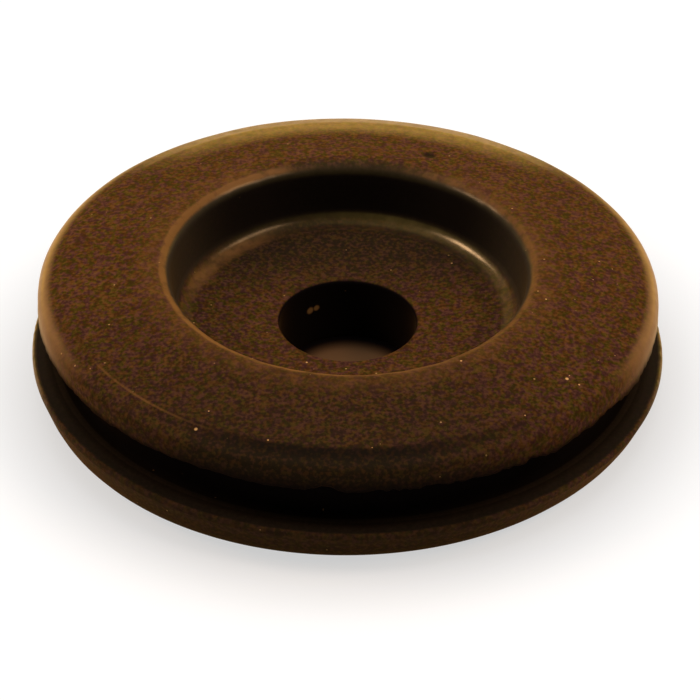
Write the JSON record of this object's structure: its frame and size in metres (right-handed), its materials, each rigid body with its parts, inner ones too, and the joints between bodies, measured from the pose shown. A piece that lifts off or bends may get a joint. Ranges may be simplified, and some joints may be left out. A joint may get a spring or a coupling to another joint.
{
  "type": "rubber grommet",
  "caption": "Moulded rubber panel grommet: a top flange with a round recess, a panel groove, a rounded lower flange and a straight cable hole.",
  "frame": {"origin": "centre of the base, on the surface that the grommet stands on", "axes": "+Z is the axis of the cable hole and of the whole body, out of the recess"},
  "size_m": [0.05, 0.05, 0.0112],
  "materials": {
    "rubber": "satin moulded black rubber, warm brown-black"
  },
  "bodies": {
    "root": {"grommet": "rubber"}
  },
  "joints": []
}
